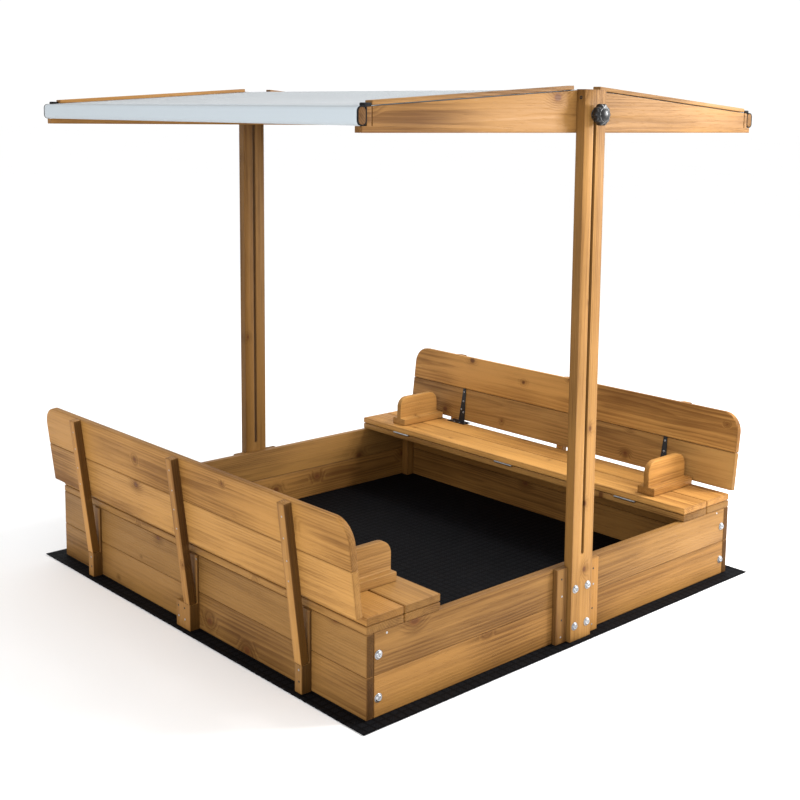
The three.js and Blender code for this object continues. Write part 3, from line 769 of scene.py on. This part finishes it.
# Three butt hinges per bench, with one leaf on the bench and one on the seat.
def add_butt_hinges():
    half_length = 0.033
    knuckle_ends = (-half_length, -0.0205, -0.007, 0.007, 0.0205, half_length)
    slack = 0.00005
    for name, side in SIDES.items():
        bench = node_box(f"{name}_bench_inner")
        seat = node_box(f"{name}_seat_inner")
        edge = min(abs(bench[0].x), abs(bench[1].x))
        pin_x = edge - 0.0035
        middle = (bench[1].z + seat[0].z) / 2
        lower = bmesh.new()
        upper = bmesh.new()
        leaves = (
            (lower, bench[1].z + slack, middle - slack),
            (upper, middle + slack, seat[0].z - slack),
        )
        xs = sorted((side * (pin_x + 0.0008), side * (edge + 0.022)))
        for along in (-0.425, 0.0, 0.425):
            for work, low, high in leaves:
                box_low = (xs[0], along - half_length, low)
                box_high = (xs[1], along + half_length, high)
                rounded_box(work, box_low, box_high, 0.0002, 1)
            for index, (start, end) in enumerate(zip(knuckle_ends, knuckle_ends[1:])):
                work = upper if index % 2 else lower
                origin = (side * pin_x, along + start + 0.0002, middle)
                add_knuckle(work, origin, end - start - 0.0004, 0.0026, 20)
        for label, body, work in (("bench", "root", lower), ("seat", f"{name}_seat", upper)):
            keep_edges_sharp(piece_from(f"{name}_{label}_hinge_leaves", body, "zinc_steel", work))


# The tee hinges' cross leaves on the seat, with their screws and those of the straps.
def add_tee_leaves():
    half_length = 0.0365
    for name, side in SIDES.items():
        seat = node_box(f"{name}_seat_outer")
        top = seat[1].z
        rim = max(abs(seat[0].x), abs(seat[1].x))
        pin_x = rim + 0.006
        pin_z = top + 0.0013
        leaves = bmesh.new()
        leaf_heads = bmesh.new()
        strap_heads = bmesh.new()
        xs = sorted((side * (rim - 0.019), side * (pin_x - 0.0012)))
        face = Vector((-side * math.cos(LEAN), 0, math.sin(LEAN)))
        up = Vector((side * math.sin(LEAN), 0, math.cos(LEAN)))
        for end in ENDS:
            strap = node_box(f"{name}_back_strap_{end}")
            along = (strap[0].y + strap[1].y) / 2
            box_low = (xs[0], along - half_length, top + 0.0001)
            box_high = (xs[1], along + half_length, top + 0.0019)
            rounded_box(leaves, box_low, box_high, 0.0005, 2)
            for start in (-half_length, half_length - 0.019):
                add_knuckle(leaves, (side * pin_x, along + start, pin_z), 0.019, 0.0021, 18)
            for y in (-0.029, -0.011, 0.011, 0.029):
                setback = 0.0065 if abs(y) > 0.02 else 0.0125
                spot = (side * (rim - setback), along + y, top + 0.0018)
                screw_head(leaf_heads, spot, (0, 0, 1), 0.0032, 0.0009, y * 40)
            foot = Vector((side * (rim + 0.009), along, top + 0.005))
            for height, offset in ((0.024, -0.005), (0.032, 0.005), (0.058, 0.0), (0.086, 0.0)):
                spot = foot + up * height + face * 0.0022 + Vector((0, offset, 0))
                screw_head(strap_heads, spot, face, 0.0029, 0.0009, height * 50)
        keep_edges_sharp(piece_from(f"{name}_tee_leaves", f"{name}_seat", "black_steel", leaves))
        piece_from(f"{name}_tee_leaf_screws", f"{name}_seat", "zinc_steel", leaf_heads)
        piece_from(f"{name}_strap_screws", f"{name}_backrest", "zinc_steel", strap_heads)


# ---------------------------------------------------------------- inside the box
def add_corner_blocks():
    wall_x = node_box("right_wall_lower")[0].x
    wall_y = node_box("rear_wall_lower")[0].y
    top = node_box("rear_wall_upper")[1].z
    floor = node_box("rear_wall_lower")[0].z
    gap = 0.0003
    for side_name, side in SIDES.items():
        for end_name, end in ENDS.items():
            xs = sorted((side * (wall_x - gap), side * (wall_x - gap - 0.026)))
            ys = sorted((end * (wall_y - gap), end * (wall_y - gap - 0.026)))
            low = Vector((xs[0], ys[0], floor))
            high = Vector((xs[1], ys[1], top - 0.001))
            add_bar(f"corner_block_{end_name}_{side_name}", "root", "frame_wood", low, high)


def add_liner():
    low, high = node_box("ground_liner")
    columns = 250
    rows = 254
    work = bmesh.new()
    wall_x = node_box("right_wall_lower")[1].x
    wall_y = node_box("rear_wall_lower")[1].y
    grid = []
    for i in range(columns + 1):
        x = low.x + (high.x - low.x) * i / columns
        line = []
        for j in range(rows + 1):
            y = low.y + (high.y - low.y) * j / rows
            free = max(abs(x) - wall_x - 0.006, abs(y) - wall_y - 0.006, 0.0)
            ripple = noise.noise(Vector((x * 9, y * 9, 3.0))) * 0.5 + 0.5
            curl = min(free / 0.03, 1.0) * ripple * 0.0016
            grooves = [max(0.0, math.cos(2 * math.pi * value / RIB_PITCH)) for value in (x, y)]
            ridge = (1 - max(grooves) ** 3) * 0.0005
            line.append(work.verts.new((x, y, 0.0008 + ridge + curl)))
        grid.append(line)
    for first, second in zip(grid, grid[1:]):
        for j in range(rows):
            work.faces.new((first[j], second[j], second[j + 1], first[j + 1]))
    liner = piece_from("liner_sheet", "root", "liner_cloth", work)
    thicken(liner, 0.0008)
    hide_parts("ground_liner")


# ---------------------------------------------------------------- canopy cover
END_BAR = node_box("right_end_bar")
COVER = node_box("canopy_cover")
BEAM_INNER = node_box("rear_beam")[0].y
SLEEVE_X = 0.599  # where the sleeves end and the roof begins
INSET_X = 0.588  # as far as this, the roof's edge is drawn short under the strips
INSET = 0.008
ROOF_TOP = COVER[1].z - 0.0008  # the height at which the two slopes of the cloth's middle would meet
ROOF_SLOPE = (COVER[1].z - END_BAR[1].z - 0.0016) / ((END_BAR[0].x + END_BAR[1].x) / 2)


# The middle line of the cloth in X and Z, from the hem inside the left sleeve to the hem inside the
# right one.
def cover_profile(steps=44):
    bar_low, bar_high = END_BAR
    offset = 0.0011
    radius = 0.0075 + offset
    left = bar_low.x - offset
    right = bar_high.x + offset
    bottom = bar_low.z - offset
    top = bar_high.z + offset
    half = [(left, top - 0.0018)]
    half += [(left, top - (top - bottom - radius) * i / 6) for i in range(1, 6)]
    corners = (
        (left + radius, bottom + radius, 180),
        (right - radius, bottom + radius, 270),
        (right - radius, top - radius, 0),
    )
    for x, z, start in corners:
        for i in range(7):
            angle = math.radians(start + 15 * i)
            half.append((x + radius * math.cos(angle), z + radius * math.sin(angle)))
        if start == 270:
            half += [(right, z + (top - bottom - 2 * radius) * i / 5) for i in range(1, 5)]
    start_x = (bar_low.x + bar_high.x) / 2 - 0.003
    peak = 0.02
    for i in range(steps + 1):
        x = start_x * (1 - i / steps)
        rounding = ROOF_SLOPE * peak / 2 * max(0.0, 1 - x / peak) ** 2
        half.append((x, ROOF_TOP - ROOF_SLOPE * x - rounding))
    return [(-x, z) for x, z in half] + [(x, z) for x, z in reversed(half[:-1])]


# Where a point of the cloth's middle surface lies once the cloth hangs slack and creased.
def cover_point(x, y, z):
    inner = max(0.0, 1 - (y / BEAM_INNER) ** 2)
    under = max(0.0, (abs(y) - BEAM_INNER) / 0.02) * min(1.0, max(0.0, (INSET_X - abs(x)) / 0.015))
    y -= math.copysign(INSET * min(1.0, under), y)
    if abs(x) < SLEEVE_X and inner:
        slack = math.sin(math.pi * abs(x) / SLEEVE_X)
        near_edge = math.exp(-(BEAM_INNER - abs(y)) / 0.045)
        lines = noise.noise(Vector((x * 26, y * 2.2, 1.7)))
        creases = noise.noise(Vector((x * 5, y * 5, 9.1)))
        z -= 0.0085 * slack * min(1.0, inner * 1.6)
        z += 0.0016 * near_edge * lines * min(1.0, inner * 12) * slack
        z += 0.0016 * creases * slack * min(1.0, inner * 3)
    elif abs(x) >= SLEEVE_X:
        swell = 0.5 + 0.5 * noise.noise(Vector((y * 7, z * 30, 4.0)))
        if z < END_BAR[1].z - 0.0017 and abs(x) > END_BAR[0].x + 0.0083:
            x += math.copysign(0.0008 * swell * min(1.0, (COVER[1].y - abs(y)) * 40), x)
    return (x, y, z)


def add_cover():
    profile = cover_profile()
    rows = 96
    reach = COVER[1].y
    work = bmesh.new()
    grid = []
    for j in range(rows + 1):
        y = -reach + 2 * reach * j / rows
        grid.append([work.verts.new(cover_point(x, y, z)) for x, z in profile])
    for first, second in zip(grid, grid[1:]):
        for i in range(len(profile) - 1):
            work.faces.new((first[i], second[i], second[i + 1], first[i + 1]))
    cover = piece_from("canopy_cover_sheet", "canopy", "cover_cloth", work)
    thicken(cover, 0.0013)
    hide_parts("canopy_cover")
    extras = [add_binding_and_painted_shadow(profile), *add_hems()]


# Black tape folded over the sleeves' cut edges, with a thick black block where a sleeve meets the roof
# that stands for the tape's fold and for a painted shadow under the roof's edge.
def add_binding_and_painted_shadow(profile):
    work = bmesh.new()
    section = ((-1, -0.7), (-0.7, -1), (0.7, -1), (1, -0.7), (1, 0.7), (0.7, 1), (-0.7, 1), (-1, 0.7))
    strip_x = node_box("front_strip_right")[1].x
    bar_low, bar_high = END_BAR
    reach = COVER[1].y
    sleeve = [Vector(point) for point in profile if point[0] > strip_x]
    for end in ENDS.values():
        for side in SIDES.values():
            rings = []
            for index, point in enumerate(sleeve):
                along = sleeve[min(index + 1, len(sleeve) - 1)] - sleeve[max(index - 1, 0)]
                normal = Vector((-along.y, along.x)).normalized()
                ring = []
                for across, out in section:
                    x, z = point + normal * out * 0.001
                    y = end * (reach - 0.0012) + across * 0.0018
                    ring.append(Vector((side * x, y, z)))
                rings.append(ring)
            loft(work, [[sum(rings[0], Vector()) / 8], *rings, [sum(rings[-1], Vector()) / 8]])
            # This black block is the tape's fold and a painted shadow in the gap under the roof's edge.
            xs = sorted((side * (strip_x + 0.0006), side * (bar_low.x + 0.0045)))
            ys = sorted((end * (reach + 0.0006), end * (reach - 0.014)))
            low = (xs[0], ys[0], bar_high.z + 0.0009)
            high = (xs[1], ys[1], bar_high.z + 0.0078)
            rounded_box(work, low, high, 0.0022, 3)
    return piece_from("cover_binding_and_shadow", "canopy", "cover_cloth", work, MATERIALS["binding"])


# The sleeves' hems lie under the roof between the beams, and two rows of stitches hold each one.
def add_hems():
    hem_rows = 80
    hem_columns = 8
    hem_depth = 0.028
    stitches_in_a_row = 190
    made = []
    for name, side in SIDES.items():
        work = bmesh.new()
        lines = []
        for j in range(hem_rows + 1):
            y = (BEAM_INNER - 0.002) * (2 * j / hem_rows - 1)
            line = []
            for i in range(hem_columns + 1):
                x = 0.6 - hem_depth * i / hem_columns
                spot = cover_point(x, y, ROOF_TOP - ROOF_SLOPE * x)
                edge = 0.0003 * noise.noise(Vector((y * 40, i * 0.5, 2.0))) if i > 5 else 0.0
                line.append(work.verts.new((side * spot[0], y, spot[2] - 0.0014 + edge)))
            lines.append(line)
        for first, second in zip(lines, lines[1:]):
            for i in range(hem_columns):
                work.faces.new((first[i], second[i], second[i + 1], first[i + 1]))
        hem = piece_from(f"cover_hem_{name}", "canopy", "cover_cloth", work)
        thicken(hem, 0.001)
        stitches = bmesh.new()
        for row in (0.5965, 0.5755):
            for j in range(stitches_in_a_row):
                y = (BEAM_INNER - 0.008) * (2 * (j + 0.5) / stitches_in_a_row - 1)
                z = cover_point(row, y, ROOF_TOP - ROOF_SLOPE * row)[2]
                for lift in (0.0008, -0.0021):
                    low = (side * row - 0.0004, y - 0.0022, z + lift - 0.0002)
                    high = (side * row + 0.0004, y + 0.0022, z + lift + 0.0002)
                    rounded_box(stitches, low, high, 0.00015, 1)
        thread = piece_from(
            f"cover_stitches_{name}", "canopy", "cover_cloth", stitches, MATERIALS["thread"]
        )
        made += [hem, thread]
    return made


def add_ridge_bar():
    beam_top = node_box("rear_beam")[1].z
    inner = BEAM_INNER - 0.0004
    low = Vector((-0.01, -inner, beam_top - 0.038))
    high = Vector((0.01, inner, beam_top - 0.0004))
    add_bar("ridge_bar", "canopy", "canopy_wood", low, high)


# ---------------------------------------------------------------- clamps
# A knob's outline from the post outwards: radius, height, and how strongly its ten lobes show there.
KNOB_OUTLINE = (
    (0, 0.0, 0), (0.0102, 0.0, 0), (0.011, 0.0008, 0), (0.011, 0.0064, 0), (0.0118, 0.0078, 0.1),
    (0.0178, 0.0082, 0.7), (0.0206, 0.0094, 1), (0.0218, 0.012, 1), (0.022, 0.0155, 1),
    (0.022, 0.0185, 1), (0.0216, 0.0208, 1), (0.0204, 0.0228, 0.85), (0.0188, 0.0243, 0.6),
    (0.0166, 0.0258, 0.25), (0.0152, 0.0264, 0.05), (0.0147, 0.0261, 0), (0.0142, 0.0266, 0),
    (0.0112, 0.0281, 0), (0.0075, 0.0293, 0), (0.0036, 0.0299, 0), (0, 0.03, 0),
)


def knob_lobes(angle, index):
    wave = math.cos(10 * angle)
    return 1 + 0.062 * KNOB_OUTLINE[index][2] * (wave if wave > 0 else 1.3 * wave)


def add_knobs():
    for name, end in ENDS.items():
        post = node_box(f"{name}_post")
        knob = node_box(f"{name}_clamp_knob")
        height = (knob[0].z + knob[1].z) / 2
        face = max(abs(post[0].y), abs(post[1].y))
        near = min(abs(knob[0].y), abs(knob[1].y))
        far = max(abs(knob[0].y), abs(knob[1].y))
        stretch = (far - near) / KNOB_OUTLINE[-1][1]
        profile = [(radius, lift * stretch) for radius, lift, lobes in KNOB_OUTLINE]
        work = bmesh.new()
        revolve(work, (0, end * near, height), (0, end, 0), profile, 120, radius_at=knob_lobes)
        body = piece_from(f"{name}_knob_body", f"{name}_knob", "black_plastic", work)
        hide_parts(f"{name}_clamp_knob")
        work = bmesh.new()
        outside = [(0.0125, 0), (0.013, 0.0001), (0.013, 0.0004), (0.0125, 0.0005)]
        profile = [(0.0046, 0), *outside, (0.0046, 0.0005), (0.0046, 0)]
        revolve(work, (0, end * (face + 0.00005), height), (0, end, 0), profile, 40)
        bmesh.ops.remove_doubles(work, verts=work.verts, dist=0.000001)
        washer = piece_from(f"{name}_clamp_washer", "canopy_carriage", "zinc_steel", work)
        keep_edges_sharp(washer)


# A screw goes into each side of a post, above the slot.
def add_post_screws():
    work = bmesh.new()
    for name in ENDS:
        low, high = node_box(f"{name}_post")
        for side in SIDES.values():
            spot = (side * high.x, (low.y + high.y) / 2, high.z - 0.017)
            screw_head(work, spot, (side, 0, 0), 0.0038, 0.0007, 0.4)
    piece_from("post_screws", "root", "black_steel", work)


# ---------------------------------------------------------------- stage
def add_stage():
    work = bmesh.new()
    profile = [(radius, 0) for radius in (0, 0.5, 1.5, 4.0, 10.0, 30.0, 90.0)]
    revolve(work, (0, 0, -0.0002), (0, 0, 1), profile, 72)
    mesh = bpy.data.meshes.new("floor")
    bmesh.ops.recalc_face_normals(work, faces=work.faces)
    work.to_mesh(mesh)
    work.free()
    floor = bpy.data.objects.new("floor", mesh)
    bpy.context.collection.objects.link(floor)
    mesh.materials.append(floor_material())


def add_light(name, place, aim, size, power):
    data = bpy.data.lights.new(name, "AREA")
    data.shape = "RECTANGLE"
    data.size = size
    data.size_y = size
    data.energy = power
    light = bpy.data.objects.new(name, data)
    light.location = place
    light.rotation_euler = (Vector(aim) - Vector(place)).to_track_quat("-Z", "Y").to_euler()
    bpy.context.collection.objects.link(light)


def add_lights():
    world = bpy.data.worlds.new("studio")
    world.use_nodes = True
    background = world.node_tree.nodes["Background"]
    background.inputs["Color"].default_value = (1.0, 1.0, 1.0, 1.0)
    background.inputs["Strength"].default_value = 1.04
    bpy.context.scene.world = world
    add_light("key", (2.0, -2.1, 1.5), (0.3, -0.3, 0.3), 0.7, 82)
    add_light("top", (1.4, -1.1, 2.6), (0.5, 0, 0.2), 0.8, 55)
    add_light("fill", (-4.5, -2.6, 1.8), (0.2, 0, 0.4), 2.2, 100)
    bpy.context.scene.view_settings.view_transform = "Standard"


# ---------------------------------------------------------------- assembly
make_camera()
finish_wood_nodes()
finish_metal_nodes()
add_corner_blocks()
add_liner()
add_cover()
add_ridge_bar()
add_knobs()
fastener_rng = random.Random(7)
add_wall_fasteners(fastener_rng)
add_batten_screws(fastener_rng)
add_butt_hinges()
add_tee_leaves()
add_post_screws()
add_stage()
add_lights()
